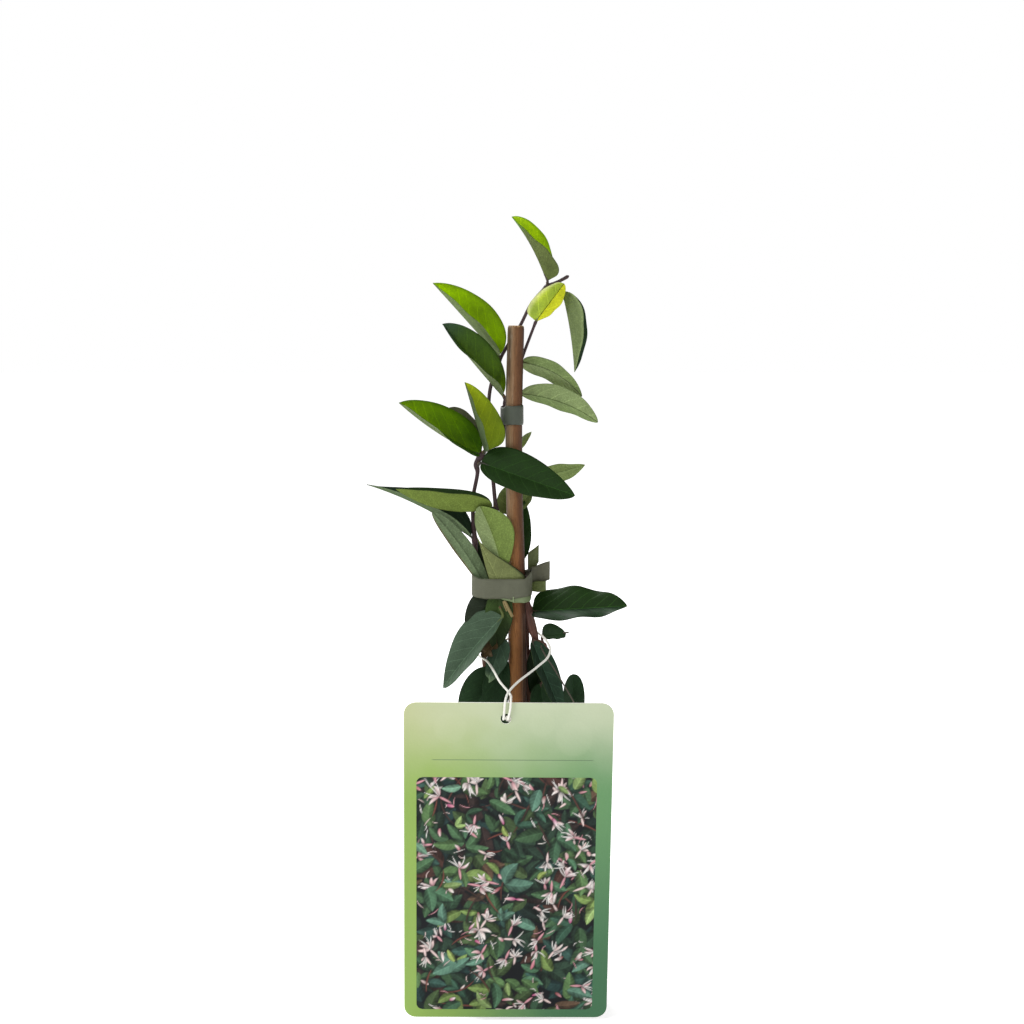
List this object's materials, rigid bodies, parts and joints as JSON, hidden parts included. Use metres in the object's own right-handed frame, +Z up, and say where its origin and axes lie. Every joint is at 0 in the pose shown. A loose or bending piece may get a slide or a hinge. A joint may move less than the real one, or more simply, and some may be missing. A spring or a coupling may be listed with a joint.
{
  "type": "potted honeysuckle vine",
  "caption": "Young twining honeysuckle whose leafy shoots are tied to a cane in a round nursery pot of compost, with a plant card hung on a string.",
  "frame": {"origin": "centre of the pot's flat underside", "axes": "+Z up along the cane, -Y towards the front where the card hangs, +X to the right seen from the front"},
  "size_m": [0.1248, 0.1004, 0.3787],
  "materials": {
    "pot_plastic": "thin moulded black plastic, slightly dusty",
    "compost": "loose crumbly bark and peat compost",
    "bamboo": "weathered split wood with grey streaks and fine lengthwise cracks",
    "foliage_upper": "thin fresh leaves, satin above and grey-green beneath, on purple-brown stems",
    "foliage_lower": "older dark satin leaves with pale veins, on woody brown stems",
    "tie_tape": "soft creased plastic tape",
    "card": "smooth printed card with a thin white edge",
    "string": "thin white twisted cotton string"
  },
  "bodies": {
    "root": {"pot": "pot_plastic", "soil": "compost", "cane": "bamboo", "tall_shoot": "foliage_upper", "cane_shoot": "foliage_upper", "left_shoot": "foliage_upper", "low_left_shoot": "foliage_lower", "low_right_shoot": "foliage_lower", "upper_tie": "tie_tape", "lower_tie": "tie_tape", "plant_card": "card", "card_string": "string"}
  },
  "joints": []
}
